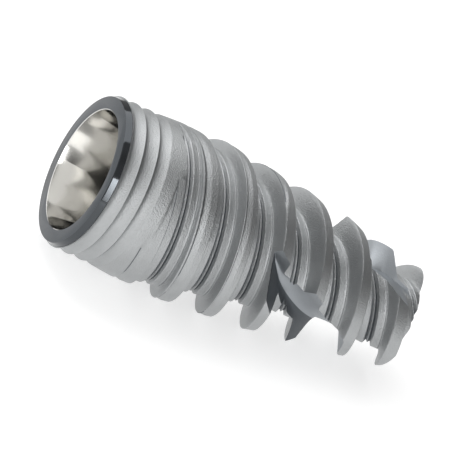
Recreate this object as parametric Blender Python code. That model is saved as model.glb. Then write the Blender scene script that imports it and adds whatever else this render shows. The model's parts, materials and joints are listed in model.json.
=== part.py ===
"""Tapered self-tapping dental implant, turned and milled from one bar of titanium.

The implant is modelled upright in its own frame, with the platform at zero and the apex at
+Z, and then laid on its side as it would come to rest. All sizes below are in millimetres.
Angles are in degrees, turning right-handed about the axis from the platform to the apex.
"""
import math

import bmesh
import bpy
from mathutils import Matrix, Vector
from mathutils.geometry import intersect_line_line_2d

MM = 0.001

# Fineness of the mesh
COLUMNS = 48
FLUTE_SECTIONS = 28
WELD = 1e-4

# Overall
LENGTH = 10.98
PLATFORM_RADIUS = 2.30
COLLAR_RADIUS = 2.385
THREAD_RADIUS = 2.484
THREAD_WIDEST_AT = 3.86
APEX_CREST_RADIUS = 1.53
APEX_CREST_AT = 10.93
CREST_BULGE = 0.105

# Polished band and fine rings under the platform
BAND_HEIGHT = 0.21
BAND_FLARE = 0.048
RING_EDGES = (0.65, 1.12, 1.53)
RING_RADIUS = 2.385
RING_GROOVE_DEPTH = 0.10
RING_STEP = 0.03
RING_POINTS = 4
RING_COVE = 2.2

# Double-start thread
STARTS = 2
PITCH = 1.426
CREST_PHASE = 4.473
CREST_WIDTH = 0.32
CREST_FALL = 0.045
APICAL_FLANK = 0.17
FLOOR_WIDTH = 0.34
FLOOR_RISE = 0.035
GROOVE_WIDTH = 0.05
GROOVE_DEPTH = 0.09
RIDGE_DROP = 0.02
LAND_WIDTH = 0.24
LAND_RISE = 0.015
FLANK_HOLLOW = 0.30

# Core under the thread
THREAD_START_AT = 1.95
CORE_START_AT = 2.04
CORE_BREAK_AT = 7.15
CORE_BREAK_RADIUS = 1.36
CORE_END_AT = 10.30
CORE_END_RADIUS = 1.08
CORE_TIP_RADIUS = 0.90

# Rounded apex
NOSE_LENGTH = 0.36
NOSE_RADIUS = 1.64
NOSE_FLAT_RADIUS = 0.92
NOSE_FULLNESS = 3.0

# Socket in the head
MOUTH_RADIUS = 1.888
CONE_HALF_ANGLE = 12.0
HEX_ACROSS_FLATS = 2.96
HEX_CORNER_ANGLE = 180.0
HEX_DEPTH = 2.60
SCREW_BORE_RADIUS = 0.95
SCREW_BORE_DEPTH = 6.00
DRILL_TIP_ANGLE = 59.0
DRILL_TIP_RADIUS = 0.02
CONE_OVERLAP = 0.10
CUTTER_OVERRUN = 0.50

# Spiral cutting flutes
FLUTES = 2
FLUTE_START_AT = 5.50
FLUTE_FLOOR_DISTANCE = 0.99
FLUTE_RUN_IN = 0.40
FLUTE_RUN_IN_LENGTH = 1.60
FLUTE_FLOOR_START_ANGLE = 33.8
FLUTE_FLOOR_TURN = 16.5
FLUTE_EDGE_RADIUS = 2.07
FLUTE_LEAST_FLOOR = 0.02
FLUTE_FILLET = 0.40
FLUTE_FILLET_SHARE = 0.9
FLUTE_WALL_STEPS = (0.6, 1.3)
# The wall's foot beside the floor's middle, and its lean, at heights along the implant
FLUTE_WALL_STATIONS = (
    (5.50, -1.37, 32.0),
    (6.42, -0.93, 24.0),
    (7.90, -0.86, 12.0),
    (9.15, -0.45, 14.0),
    (9.38, -0.05, 38.0),
    (9.77, -0.08, 62.0),
    (10.10, 0.12, 66.0),
    (10.68, 0.32, 80.0),
)
# The cutting face's root beside the floor's middle, its lift, and the angle of its edge
FLUTE_FACE_STATIONS = (
    (5.50, -1.64, 0.40, -28.5),
    (6.00, -1.05, 0.27, -19.4),
    (6.50, -0.64, 0.15, -10.2),
    (7.00, -0.34, 0.03, -1.1),
    (7.50, -0.14, 0.00, 8.1),
    (8.52, 0.23, 0.00, 26.8),
    (8.72, 1.55, 0.00, 52.0),
    (10.68, 1.55, 0.00, 52.0),
)
FLUTE_REACH = 4.0

# Rest pose
REST_ROLL = 26.25
SETTLING_STEPS = 8

TITANIUM_COLOUR = (0.33, 0.35, 0.37, 1.0)
TITANIUM_ROUGHNESS = 0.45


def blend(a, b, t):
    return a + (b - a) * t


def clamp(value, low, high):
    return max(low, min(high, value))


def crest_radius(z):
    """Outer envelope: a collar that flares out, then a gently bulging taper."""
    if z < THREAD_WIDEST_AT:
        t = clamp((z - RING_EDGES[-1]) / (THREAD_WIDEST_AT - RING_EDGES[-1]), 0.0, 1.0)
        return blend(COLLAR_RADIUS, THREAD_RADIUS, 1.0 - (1.0 - t) ** 2)
    t = (z - THREAD_WIDEST_AT) / (APEX_CREST_AT - THREAD_WIDEST_AT)
    straight = blend(THREAD_RADIUS, APEX_CREST_RADIUS, t)
    return straight + CREST_BULGE * (1.0 - (2.0 * t - 1.0) ** 2)


def core_radius(z):
    """Thread root: a steep cone from the collar, then a slimmer cone to the apex."""
    start_radius = crest_radius(CORE_START_AT)
    if z < CORE_BREAK_AT:
        t = (z - CORE_START_AT) / (CORE_BREAK_AT - CORE_START_AT)
        return blend(start_radius, CORE_BREAK_RADIUS, t)
    if z < CORE_END_AT:
        t = (z - CORE_BREAK_AT) / (CORE_END_AT - CORE_BREAK_AT)
        return blend(CORE_BREAK_RADIUS, CORE_END_RADIUS, t)
    t = (z - CORE_END_AT) / (LENGTH - CORE_END_AT)
    return blend(CORE_END_RADIUS, CORE_TIP_RADIUS, t * t)


def nose_radius(z):
    """Rounded end that trims the last turns of the thread."""
    t = clamp((z - (LENGTH - NOSE_LENGTH)) / NOSE_LENGTH, 0.0, 1.0)
    return blend(NOSE_FLAT_RADIUS, NOSE_RADIUS, (1.0 - t ** NOSE_FULLNESS) ** (1.0 / NOSE_FULLNESS))


def thread_profile():
    """One pitch of the thread as (distance along, share of the depth, step in radius)."""
    floor = CREST_WIDTH + APICAL_FLANK
    groove = floor + FLOOR_WIDTH
    land = groove + 4.0 * GROOVE_WIDTH
    land_end = land + LAND_WIDTH
    flank_middle = 0.5 * (land_end + PITCH)
    return (
        (0.0, 1.0, 0.0),
        (CREST_WIDTH, 1.0, -CREST_FALL),
        (floor, 0.0, 0.0),
        (groove, 0.0, FLOOR_RISE),
        (groove + GROOVE_WIDTH, 0.0, -GROOVE_DEPTH),
        (groove + 2.0 * GROOVE_WIDTH, 0.0, -RIDGE_DROP),
        (groove + 3.0 * GROOVE_WIDTH, 0.0, -GROOVE_DEPTH),
        (land, 0.0, FLOOR_RISE),
        (land_end, 0.0, FLOOR_RISE + LAND_RISE),
        (flank_middle, FLANK_HOLLOW, 0.0),
    )


def thread_point(row, column, profile):
    """Vertex of the threaded skin, on a grid that follows the thread's own helix."""
    pitches, step = divmod(row, len(profile))
    along, share, offset = profile[step]
    turn = column / COLUMNS
    first = CREST_PHASE - math.ceil(CREST_PHASE / PITCH + STARTS) * PITCH
    z = first + pitches * PITCH + along + STARTS * PITCH * turn
    z = clamp(z, THREAD_START_AT, LENGTH)
    crest = crest_radius(z)
    radius = min(crest, blend(core_radius(z), crest, share) + offset)
    if z <= THREAD_START_AT:
        radius = crest
    elif z >= LENGTH:
        radius = NOSE_FLAT_RADIUS
    elif z > LENGTH - NOSE_LENGTH:
        radius = min(radius, nose_radius(z))
    angle = 2.0 * math.pi * turn
    return Vector((radius * math.cos(angle), radius * math.sin(angle), z))


def head_profile():
    """Turned profile from the platform's edge to the start of the thread."""
    points = [(0.0, PLATFORM_RADIUS), (BAND_HEIGHT, PLATFORM_RADIUS + BAND_FLARE)]
    start = BAND_HEIGHT
    for edge in RING_EDGES:
        foot = start + RING_STEP
        for i in range(RING_POINTS + 1):
            t = i / RING_POINTS
            radius = RING_RADIUS - RING_GROOVE_DEPTH * (1.0 - t ** RING_COVE)
            points.append((blend(foot, edge, t), radius))
        start = edge
    return points


def body_skin():
    """Closed outer skin: flat platform, turned head, helical thread and flat apex."""
    mesh = bmesh.new()
    rings = []
    for z, radius in head_profile():
        ring = []
        for column in range(COLUMNS):
            angle = 2.0 * math.pi * column / COLUMNS
            place = Vector((radius * math.cos(angle), radius * math.sin(angle), z))
            ring.append(mesh.verts.new(place * MM))
        rings.append(ring)
    profile = thread_profile()
    rows_per_turn = STARTS * len(profile)
    turns_beyond_ends = 3 * STARTS + 2
    rows = int((LENGTH / PITCH + turns_beyond_ends) * len(profile))
    grid = []
    for row in range(rows):
        line = [mesh.verts.new(thread_point(row, c, profile) * MM) for c in range(COLUMNS)]
        grid.append(line)

    def helical(row, column):
        if column == COLUMNS:
            return grid[min(row + rows_per_turn, rows - 1)][0]
        return grid[row][column]

    mesh.faces.new(list(reversed(rings[0])))
    for lower, upper in zip(rings, rings[1:] + [grid[0]]):
        for c in range(COLUMNS):
            n = (c + 1) % COLUMNS
            mesh.faces.new((lower[c], lower[n], upper[n], upper[c]))
    for row in range(rows - 1):
        for c in range(COLUMNS):
            corners = [helical(row, c), helical(row, c + 1), helical(row + 1, c + 1), helical(row + 1, c)]
            corners = list(dict.fromkeys(corners))
            if len(corners) > 2:
                mesh.faces.new(corners)
    mesh.faces.new(grid[-1])
    bmesh.ops.remove_doubles(mesh, verts=mesh.verts, dist=WELD * MM)
    bmesh.ops.dissolve_degenerate(mesh, edges=mesh.edges, dist=0.1 * WELD * MM)
    bmesh.ops.triangulate(mesh, faces=mesh.faces)
    bmesh.ops.recalc_face_normals(mesh, faces=mesh.faces)
    return mesh


def turned(points, sides, first_angle=0.0):
    """Closed solid turned about the axis from (distance along, radius) points."""
    mesh = bmesh.new()
    rings = []
    for z, radius in points:
        ring = []
        for side in range(sides):
            angle = math.radians(first_angle) + 2.0 * math.pi * side / sides
            ring.append(mesh.verts.new(Vector((radius * math.cos(angle), radius * math.sin(angle), z)) * MM))
        rings.append(ring)
    mesh.faces.new(list(reversed(rings[0])))
    for lower, upper in zip(rings, rings[1:]):
        for c in range(sides):
            n = (c + 1) % sides
            mesh.faces.new((lower[c], lower[n], upper[n], upper[c]))
    mesh.faces.new(rings[-1])
    bmesh.ops.recalc_face_normals(mesh, faces=mesh.faces)
    return mesh


def socket_cone():
    slope = math.tan(math.radians(CONE_HALF_ANGLE))
    hex_flat = 0.5 * HEX_ACROSS_FLATS
    floor = (MOUTH_RADIUS - hex_flat) / slope + CONE_OVERLAP
    points = ((-CUTTER_OVERRUN, MOUTH_RADIUS + CUTTER_OVERRUN * slope), (floor, MOUTH_RADIUS - floor * slope))
    return turned(points, COLUMNS, 180.0 / COLUMNS)


def socket_hex():
    sides = 6
    corner = 0.5 * HEX_ACROSS_FLATS / math.cos(math.pi / sides)
    return turned(((-CUTTER_OVERRUN, corner), (HEX_DEPTH, corner)), sides, HEX_CORNER_ANGLE)


def screw_bore():
    tip = SCREW_BORE_RADIUS / math.tan(math.radians(DRILL_TIP_ANGLE))
    points = (
        (HEX_DEPTH - CUTTER_OVERRUN, SCREW_BORE_RADIUS),
        (SCREW_BORE_DEPTH, SCREW_BORE_RADIUS),
        (SCREW_BORE_DEPTH + tip, DRILL_TIP_RADIUS),
    )
    return turned(points, COLUMNS // 2)


def between(stations, z):
    """Values of a table of stations, read at a height between them."""
    for lower, upper in zip(stations, stations[1:]):
        if z < upper[0]:
            t = clamp((z - lower[0]) / (upper[0] - lower[0]), 0.0, 1.0)
            return [blend(a, b, t) for a, b in zip(lower[1:], upper[1:])]
    return stations[-1][1:]


def flute_section(z):
    """Cross-section of the flute's cutter at a height, turned to its place about the axis.

    Where the flute starts, its wall and its cutting face meet in a V and leave almost no floor.
    """
    run = z - FLUTE_START_AT
    foot, lean = between(FLUTE_WALL_STATIONS, z)
    root_x, root_lift, edge_angle = between(FLUTE_FACE_STATIONS, z)
    lift = FLUTE_RUN_IN * max(0.0, 1.0 - run / FLUTE_RUN_IN_LENGTH)
    heel = Vector((foot, FLUTE_FLOOR_DISTANCE + lift))
    root = Vector((root_x, FLUTE_FLOOR_DISTANCE + root_lift))
    edge_turn = math.radians(edge_angle)
    edge = FLUTE_EDGE_RADIUS * Vector((math.sin(edge_turn), math.cos(edge_turn)))
    up_face = (edge - root).normalized()
    up_wall = Vector((-math.cos(math.radians(lean)), math.sin(math.radians(lean))))
    face_end = root + FLUTE_REACH * up_face
    wall_end = heel + FLUTE_REACH * up_wall
    meeting = intersect_line_line_2d(heel, wall_end, root, face_end)
    if meeting:
        heel = meeting - Vector((0.5 * FLUTE_LEAST_FLOOR, 0.0))
        root = meeting + Vector((0.5 * FLUTE_LEAST_FLOOR, 0.0))
    fillet = min(FLUTE_FILLET, FLUTE_FILLET_SHARE * (root - heel).length)
    on_floor = root + fillet * (heel - root).normalized()
    on_face = root + fillet * up_face
    hollow = 0.5 * root + 0.25 * (on_floor + on_face)
    top = 2.0 * FLUTE_REACH
    outline = [heel, on_floor, hollow, on_face, face_end]
    outline += [Vector((face_end.x, top)), Vector((wall_end.x, top)), wall_end]
    outline += [heel + step * up_wall for step in reversed(FLUTE_WALL_STEPS)]
    turn = math.radians(FLUTE_FLOOR_START_ANGLE + FLUTE_FLOOR_TURN * run)
    outward = Vector((math.cos(turn), math.sin(turn), 0.0))
    sideways = Vector((-math.sin(turn), math.cos(turn), 0.0))
    return [outward * p.y + sideways * p.x + Vector((0.0, 0.0, z)) for p in outline]


def flute(first_angle):
    """Cutter for one spiral flute, lofted through its sections."""
    mesh = bmesh.new()
    turn = Matrix.Rotation(math.radians(first_angle), 3, "Z")
    end = LENGTH + CUTTER_OVERRUN
    sections = []
    for i in range(FLUTE_SECTIONS):
        z = blend(FLUTE_START_AT, end, i / (FLUTE_SECTIONS - 1))
        sections.append([mesh.verts.new((turn @ place) * MM) for place in flute_section(z)])
    count = len(sections[0])
    for lower, upper in zip(sections, sections[1:]):
        for c in range(count):
            n = (c + 1) % count
            mesh.faces.new((lower[c], lower[n], upper[n], upper[c]))
    mesh.faces.new(sections[0])
    mesh.faces.new(sections[-1])
    bmesh.ops.triangulate(mesh, faces=mesh.faces)
    bmesh.ops.recalc_face_normals(mesh, faces=mesh.faces)
    return mesh


def add_object(name, mesh):
    data = bpy.data.meshes.new(name)
    mesh.to_mesh(data)
    mesh.free()
    obj = bpy.data.objects.new(name, data)
    bpy.context.scene.collection.objects.link(obj)
    return obj


def cut(body, name, mesh):
    """Take a cutter's solid away from the body."""
    cutter = add_object(name, mesh)
    cutter.hide_render = True
    cutter.display_type = "WIRE"
    cutter.parent = body
    modifier = body.modifiers.new(name, "BOOLEAN")
    modifier.operation = "DIFFERENCE"
    modifier.solver = "EXACT"
    modifier.object = cutter


def titanium():
    material = bpy.data.materials.new("blasted_titanium")
    material.use_nodes = True
    shader = material.node_tree.nodes["Principled BSDF"]
    shader.inputs["Base Color"].default_value = TITANIUM_COLOUR
    shader.inputs["Metallic"].default_value = 1.0
    shader.inputs["Roughness"].default_value = TITANIUM_ROUGHNESS
    return material


def lying_turn(tilt):
    """Rotation that lays the axis along +X and lifts or lowers the apex by a tilt."""
    roll = math.radians(REST_ROLL)
    columns = Matrix((
        (0.0, 0.0, 1.0),
        (-math.cos(roll), -math.sin(roll), 0.0),
        (math.sin(roll), -math.cos(roll), 0.0),
    ))
    return Matrix.Rotation(tilt, 3, "Y") @ columns


def centre_of_mass(mesh):
    """Volume centroid of a closed triangle mesh."""
    volume = 0.0
    moment = Vector()
    for face in mesh.loop_triangles:
        a, b, c = (mesh.vertices[i].co for i in face.vertices)
        part = a.dot(b.cross(c))
        volume += part
        moment += part * (a + b + c) / 4.0
    return moment / volume


def resting_tilt(places, centre):
    """Tilt at which the part rests on the two crests on either side of its centre of mass."""
    tilt = 0.0
    level = [lying_turn(0.0) @ place for place in places]
    middle = (lying_turn(0.0) @ centre).x
    ahead = [p for p in level if p.x > middle]
    behind = [p for p in level if p.x <= middle]
    low = min(behind, key=lambda p: p.z)
    for _ in range(SETTLING_STEPS):
        front = min(ahead, key=lambda p: (p.z - low.z) / (p.x - low.x))
        slope = (front.z - low.z) / (front.x - low.x)
        low = min(behind, key=lambda p: p.z - slope * p.x)
        tilt = math.atan(slope)
    return tilt


def lay_down(body):
    """Rest the implant on its side, with the box's bottom centre at the origin."""
    graph = bpy.context.evaluated_depsgraph_get()
    shape = body.evaluated_get(graph).to_mesh()
    shape.calc_loop_triangles()
    places = [vertex.co.copy() for vertex in shape.vertices]
    turn = lying_turn(resting_tilt(places, centre_of_mass(shape)))
    turned_places = [turn @ place for place in places]
    low = [min(p[axis] for p in turned_places) for axis in range(3)]
    high = [max(p[axis] for p in turned_places) for axis in range(3)]
    body.rotation_euler = turn.to_euler()
    body.location = (-0.5 * (low[0] + high[0]), -0.5 * (low[1] + high[1]), -low[2])
    body.evaluated_get(graph).to_mesh_clear()


def main():
    for obj in list(bpy.data.objects):
        bpy.data.objects.remove(obj)
    body = add_object("implant_body", body_skin())
    body.data.materials.append(titanium())
    cut(body, "socket_cone", socket_cone())
    cut(body, "socket_hex", socket_hex())
    cut(body, "screw_bore", screw_bore())
    for i in range(FLUTES):
        cut(body, f"flute_{i + 1}", flute(360.0 * i / FLUTES))
    lay_down(body)


main()
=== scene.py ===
"""Tapered dental implant, dressed for the render.

Laid out as a Blender add-on and run as a script. Sizes are typed in millimetres in the
implant's own frame, with the platform at zero and the apex at +Z, and angles turn
right-handed about that axis. The last step lays the implant down where the frame has it.
"""

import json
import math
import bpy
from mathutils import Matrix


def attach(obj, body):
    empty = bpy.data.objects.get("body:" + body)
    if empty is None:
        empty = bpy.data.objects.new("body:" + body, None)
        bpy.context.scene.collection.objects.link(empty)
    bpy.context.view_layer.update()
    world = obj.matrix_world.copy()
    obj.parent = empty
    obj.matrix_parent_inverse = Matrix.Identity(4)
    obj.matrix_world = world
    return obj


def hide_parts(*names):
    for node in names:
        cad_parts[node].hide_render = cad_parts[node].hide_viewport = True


bl_info = {
    "name": "Tapered Dental Implant",
    "version": (1, 0, 0),
    "blender": (4, 5, 0),
    "location": "View3D > Sidebar > Implant",
    "description": "Builds a threaded titanium dental implant on a pale studio floor",
    "category": "Add Mesh",
}

import bmesh
import bpy
from bpy.props import FloatProperty, FloatVectorProperty, IntProperty, PointerProperty
from mathutils import Matrix, Vector
from mathutils.geometry import intersect_line_line_2d

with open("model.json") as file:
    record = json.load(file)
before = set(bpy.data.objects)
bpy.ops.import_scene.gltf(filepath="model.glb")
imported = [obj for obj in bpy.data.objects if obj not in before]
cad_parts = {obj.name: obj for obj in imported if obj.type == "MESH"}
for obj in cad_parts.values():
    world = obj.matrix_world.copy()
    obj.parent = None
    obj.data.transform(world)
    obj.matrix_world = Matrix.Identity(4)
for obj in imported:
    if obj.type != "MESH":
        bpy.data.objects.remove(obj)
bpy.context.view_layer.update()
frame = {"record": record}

MM = 0.001

# Body and thread, in millimetres, as the solid has them
LENGTH = 10.98
PLATFORM_RADIUS = 2.30
COLLAR_RADIUS = 2.385
THREAD_RADIUS = 2.484
THREAD_WIDEST_AT = 3.86
APEX_CREST_RADIUS = 1.53
APEX_CREST_AT = 10.93
CREST_BULGE = 0.105
BAND_HEIGHT = 0.21
BAND_FLARE = 0.048
RING_EDGES = (0.65, 1.12, 1.53)
RING_RADIUS = 2.385
RING_GROOVE_DEPTH = 0.10
STARTS = 2
PITCH = 1.426
CREST_PHASE = 4.473
CREST_WIDTH = 0.32
CREST_FALL = 0.045
APICAL_FLANK = 0.17
FLOOR_RISE = 0.035
RIDGE_DROP = 0.02
LAND_RISE = 0.015
FLANK_HOLLOW = 0.30
THREAD_START_AT = 1.95
CORE_START_AT = 2.04
CORE_BREAK_AT = 7.15
CORE_BREAK_RADIUS = 1.36
CORE_END_AT = 10.30
CORE_END_RADIUS = 1.08
CORE_TIP_RADIUS = 0.90
NOSE_LENGTH = 0.36
NOSE_RADIUS = 1.64
NOSE_FLAT_RADIUS = 0.92
NOSE_FULLNESS = 3.0

# Read from the photograph again after the solid was made, so they differ from the solid's
FLOOR_WIDTH = 0.25
GROOVE_WIDTH = 0.065
GROOVE_DEPTH = 0.11
LAND_WIDTH = 0.27

# Finer than the solid: ring coves, rounded edges, a bead on each land, a V groove on the crests
CUT_IN = 0.02
BAND_EDGE = 0.02
# Points along the band, two of them near its ends so that its shading stays straight
BAND_POINTS = (0.0, 0.1, 0.9, 1.0)
# Where a cove is deepest, as a share of the way from one ring to the next
RING_FALL = 0.34
RING_POINTS = 16
NOSE_ALLOWANCE = 0.10
NOSE_POINTS = 14
EDGE_ROUNDING = 0.014
BEAD_HEIGHT = 0.02
BEAD_WIDTH = 0.07
# Depth from which the thread's flanks have their full length
FULL_DEPTH = 0.80
CREST_POINTS = 16
# Points down each flank, as shares of its width
APICAL_FLANK_POINTS = (0.35, 0.65)
CORONAL_FLANK_POINTS = (0.2, 0.4, 0.6, 0.8)
# Readings that are averaged at each point of the profile
ROUNDING_SAMPLES = 5
CREST_GROOVE_FALL = 0.06
CREST_GROOVE_RISE = 0.18
CREST_GROOVE_DEPTH = 0.045
CREST_GROOVE_START_AT = 1.82
CREST_GROOVE_END_AT = 5.62
CREST_GROOVE_RUN_OUT = 0.12
# Where the grooves' painted shade starts, as shares of their depth, and half its width in the crease
GROOVE_SHADE_FROM = 0.5
CREST_GROOVE_SHADE_FROM = 0.6
SHADED_CREASE_HALF_WIDTH = 0.03

# Socket
MOUTH_RADIUS = 1.888
MOUTH_CHAMFER = 0.015
CONE_HALF_ANGLE = 12.0
CONE_OVERLAP = 0.10
HEX_SIDES = 6
HEX_ACROSS_FLATS = 2.96
HEX_CORNER_ANGLE = 180.0
HEX_DEPTH = 2.60
SCREW_BORE_RADIUS = 0.95
SCREW_BORE_DEPTH = 6.00
DRILL_TIP_ANGLE = 59.0
DRILL_TIP_RADIUS = 0.02
CUTTER_OVERRUN = 0.50

# Flutes
FLUTES = 2
FLUTE_SECTIONS = 120
FLUTE_START_AT = 5.50
FLUTE_FLOOR_DISTANCE = 0.99
FLUTE_RUN_IN = 0.40
FLUTE_RUN_IN_LENGTH = 1.60
FLUTE_FLOOR_START_ANGLE = 33.8
FLUTE_FLOOR_TURN = 16.5
FLUTE_EDGE_RADIUS = 2.07
FLUTE_LEAST_FLOOR = 0.02
FLUTE_FILLET = 0.40
FLUTE_FILLET_SHARE = 0.9
FLUTE_FILLET_POINTS = 6
FLUTE_WALL_POINTS = 10
FLUTE_WALL_HEIGHT = 1.6
# The wall's foot beside the floor's middle, and its lean, at heights along the implant
FLUTE_WALL_STATIONS = (
    (5.50, -1.37, 32.0),
    (6.42, -0.93, 24.0),
    (7.90, -0.86, 12.0),
    (9.15, -0.45, 14.0),
    (9.38, -0.05, 38.0),
    (9.77, -0.08, 62.0),
    (10.10, 0.12, 66.0),
    (10.68, 0.32, 80.0),
)
# The cutting face's root beside the floor's middle, its lift, and the angle of its edge
FLUTE_FACE_STATIONS = (
    (5.50, -1.64, 0.40, -28.5),
    (6.00, -1.05, 0.27, -19.4),
    (6.50, -0.64, 0.15, -10.2),
    (7.00, -0.34, 0.03, -1.1),
    (7.50, -0.14, 0.00, 8.1),
    (8.52, 0.23, 0.00, 26.8),
    (8.72, 1.55, 0.00, 52.0),
    (10.68, 1.55, 0.00, 52.0),
)
FLUTE_REACH = 4.0

# Points closer than the first are one, and heights closer than the second are one height
WELD = 0.001
LEVEL_GAP = 0.0001
# Faces that meet at more than this angle have a sharp edge
SHARP_ANGLE = 32.0

# Relief of the blasted and of the ground finish
PIT_DEPTH = 0.018
GRIND_DEPTH = 0.006
# Clouds on the blasted finish: how many pits wide, and their two shares of its colour
CLOUD_PITS = 12.0
CLOUD_DARK = 0.93
CLOUD_LIGHT = 1.05
# Octaves of each pattern
PIT_DETAIL = 1.5
CLOUD_DETAIL = 2.0

# Roughness of each finish, from matte to mirror
PAPER_ROUGHNESS = 0.9
GROOVE_SHADE_ROUGHNESS = 0.6
BLASTED_ROUGHNESS = 0.5
GROUND_ROUGHNESS = 0.5
CUTTING_ROUGHNESS = 0.38
PLATFORM_ROUGHNESS = 0.32
POLISHED_ROUGHNESS = 0.12
BAND_ROUGHNESS = 0.09

MATH = "ShaderNodeMath"
MAP = "ShaderNodeMapRange"
# Named inputs of the skin's node tree, with their sizes in millimetres
SKIN_SIZES = {
    "Length": LENGTH + NOSE_ALLOWANCE,
    "End Radius": CORE_TIP_RADIUS,
    "Thread Start At": THREAD_START_AT,
    "Pitch": PITCH,
    "First Crest": CREST_PHASE - math.ceil(CREST_PHASE / PITCH + STARTS) * PITCH,
    "Crest Width": CREST_WIDTH,
    "Apical Flank": APICAL_FLANK,
    "Land End At": CREST_WIDTH + APICAL_FLANK + FLOOR_WIDTH + 4.0 * GROOVE_WIDTH + LAND_WIDTH,
    "Full Depth": FULL_DEPTH,
    "Collar Radius": COLLAR_RADIUS,
    "Collar End At": RING_EDGES[-1],
    "Thread Radius": THREAD_RADIUS,
    "Widest At": THREAD_WIDEST_AT,
    "End Crest Radius": APEX_CREST_RADIUS,
    "Crest End At": APEX_CREST_AT,
    "Crest Bulge": CREST_BULGE,
    "Core Start At": CORE_START_AT,
    "Core Break At": CORE_BREAK_AT,
    "Core Break Radius": CORE_BREAK_RADIUS,
    "Core End At": CORE_END_AT,
    "Core End Radius": CORE_END_RADIUS,
    "Core Tip Radius": CORE_TIP_RADIUS,
    "Crest Groove Fall": CREST_GROOVE_FALL,
    "Crest Groove Rise": CREST_GROOVE_RISE,
    "Crest Groove Depth": CREST_GROOVE_DEPTH,
    "Crest Groove Start At": CREST_GROOVE_START_AT,
    "Crest Groove End At": CREST_GROOVE_END_AT,
    "Run Out": CREST_GROOVE_RUN_OUT,
    "Band Height": BAND_HEIGHT,
}

# Photograph's view, in pixels of its frame and in the implant's own axes
PHOTO_WIDTH_PX = 460
PIXELS_PER_MM = 34.696
VIEW_RIGHT = Vector((0.3489, -0.4226, 0.8364))
VIEW_DOWN = Vector((0.1627, 0.9063, 0.3900))
PLATFORM_TO_CENTRE_RIGHT = 4.261
PLATFORM_TO_CENTRE_DOWN = 1.735
# Turn about its own axis at which the implant lies
REST_ROLL = 26.25

# Stage, in metres
CAMERA_DISTANCE = 0.05
CAMERA_CLIP_START = 0.0005
CAMERA_CLIP_END = 1.0
LAMP_DISTANCE = 0.06
FLOOR_HALF_SIZE = 0.5

# Softboxes as the implant sees them, in degrees: direction round it, height, width, how tall
KEY_SOFTBOX = (106.0, 61.0, 72.0, 58.0)
STRIP_SOFTBOX = (-95.3, 17.0, 9.0, 34.0)

# Brighter and darker patches of the studio: direction, inner and outer angle, brightness
STUDIO_PATCHES = (
    ((-1.0, 0.0, 0.25), 25.0, 80.0, 1.25),
    ((1.0, -0.1, 0.1), 25.0, 66.0, 0.05),
    ((0.35, -0.45, 0.82), 8.0, 26.0, 0.04),
    ((-0.1, 1.0, 0.1), 10.0, 22.0, 0.12),
)


def srgb(text):
    """Linear colour from an sRGB hex value."""
    channels = [int(text[i:i + 2], 16) / 255.0 for i in (1, 3, 5)]
    return tuple(c / 12.92 if c <= 0.04045 else ((c + 0.055) / 1.055) ** 2.4 for c in channels)


def blend(a, b, t):
    return a + (b - a) * t


def clamp(value, low, high):
    return max(low, min(high, value))


def add(tree, kind, *values, **named):
    """Add a node, and return its first output.

    Plain values set or link its inputs in order. Names with a capital are inputs too, and
    names in small letters are the node's own settings.
    """
    node = tree.nodes.new(kind)
    for name, value in named.items():
        if name[0].islower():
            setattr(node, name, value)
    sockets = [socket for socket in node.inputs if socket.enabled]
    pairs = list(zip(sockets, values))
    for name, value in named.items():
        if name[0].isupper():
            pairs.append((next(s for s in sockets if s.name == name.replace("_", " ")), value))
    for socket, value in pairs:
        for item in value if isinstance(value, list) else [value]:
            if isinstance(item, bpy.types.NodeSocket):
                tree.links.new(item, socket)
            elif item is not None:
                socket.default_value = item
    return next((socket for socket in node.outputs if socket.enabled), None)


class ImplantSizes(bpy.types.PropertyGroup):
    columns: IntProperty(
        name="Columns", description="Faces round the implant", default=192, min=24, max=512)
    edge_rounding: FloatProperty(
        name="Edge rounding", description="Half the width of the rounding on each thread edge",
        default=EDGE_ROUNDING * MM, min=0.0, unit="LENGTH", precision=6)
    bead_height: FloatProperty(
        name="Bead height", description="Height of the fine bead along each land",
        default=BEAD_HEIGHT * MM, min=0.0, unit="LENGTH", precision=6)


class ImplantFinish(bpy.types.PropertyGroup):
    blasted_colour: FloatVectorProperty(
        name="Blasted titanium", description="Colour of the grit-blasted and etched surface",
        subtype="COLOR", size=3, min=0.0, max=1.0, default=srgb("#B3B5B6"))
    # Painted shade: the grooves' steep walls and the flank's foot are coloured darker to stand in for
    # their shade.
    groove_shade_colour: FloatVectorProperty(
        name="Grooves", description="Colour of the grooves' steep walls and of the flank's foot",
        subtype="COLOR", size=3, min=0.0, max=1.0, default=srgb("#6A6E72"))
    ground_colour: FloatVectorProperty(
        name="Ground flute", description="Colour of the ground faces of the cutting flutes",
        subtype="COLOR", size=3, min=0.0, max=1.0, default=srgb("#A2A6AA"))
    # Painted shade: the cutting face is coloured dark for the shade and dark reflection that it lacks
    # under the white floor.
    cutting_face_shade_colour: FloatVectorProperty(
        name="Cutting face", description="Colour of the flutes' cutting faces",
        subtype="COLOR", size=3, min=0.0, max=1.0, default=srgb("#565A5E"))
    polished_colour: FloatVectorProperty(
        name="Polished titanium", description="Colour of the polished socket",
        subtype="COLOR", size=3, min=0.0, max=1.0, default=srgb("#DCDBD8"))
    band_colour: FloatVectorProperty(
        name="Band", description="Colour of the polished band round the platform",
        subtype="COLOR", size=3, min=0.0, max=1.0, default=srgb("#505356"))
    platform_colour: FloatVectorProperty(
        name="Platform", description="Colour of the turned platform face",
        subtype="COLOR", size=3, min=0.0, max=1.0, default=srgb("#4B4F53"))
    grit: FloatProperty(
        name="Grit", description="Size of the pits left by the blasting",
        default=0.04 * MM, min=0.001 * MM, unit="LENGTH", precision=6)


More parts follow.
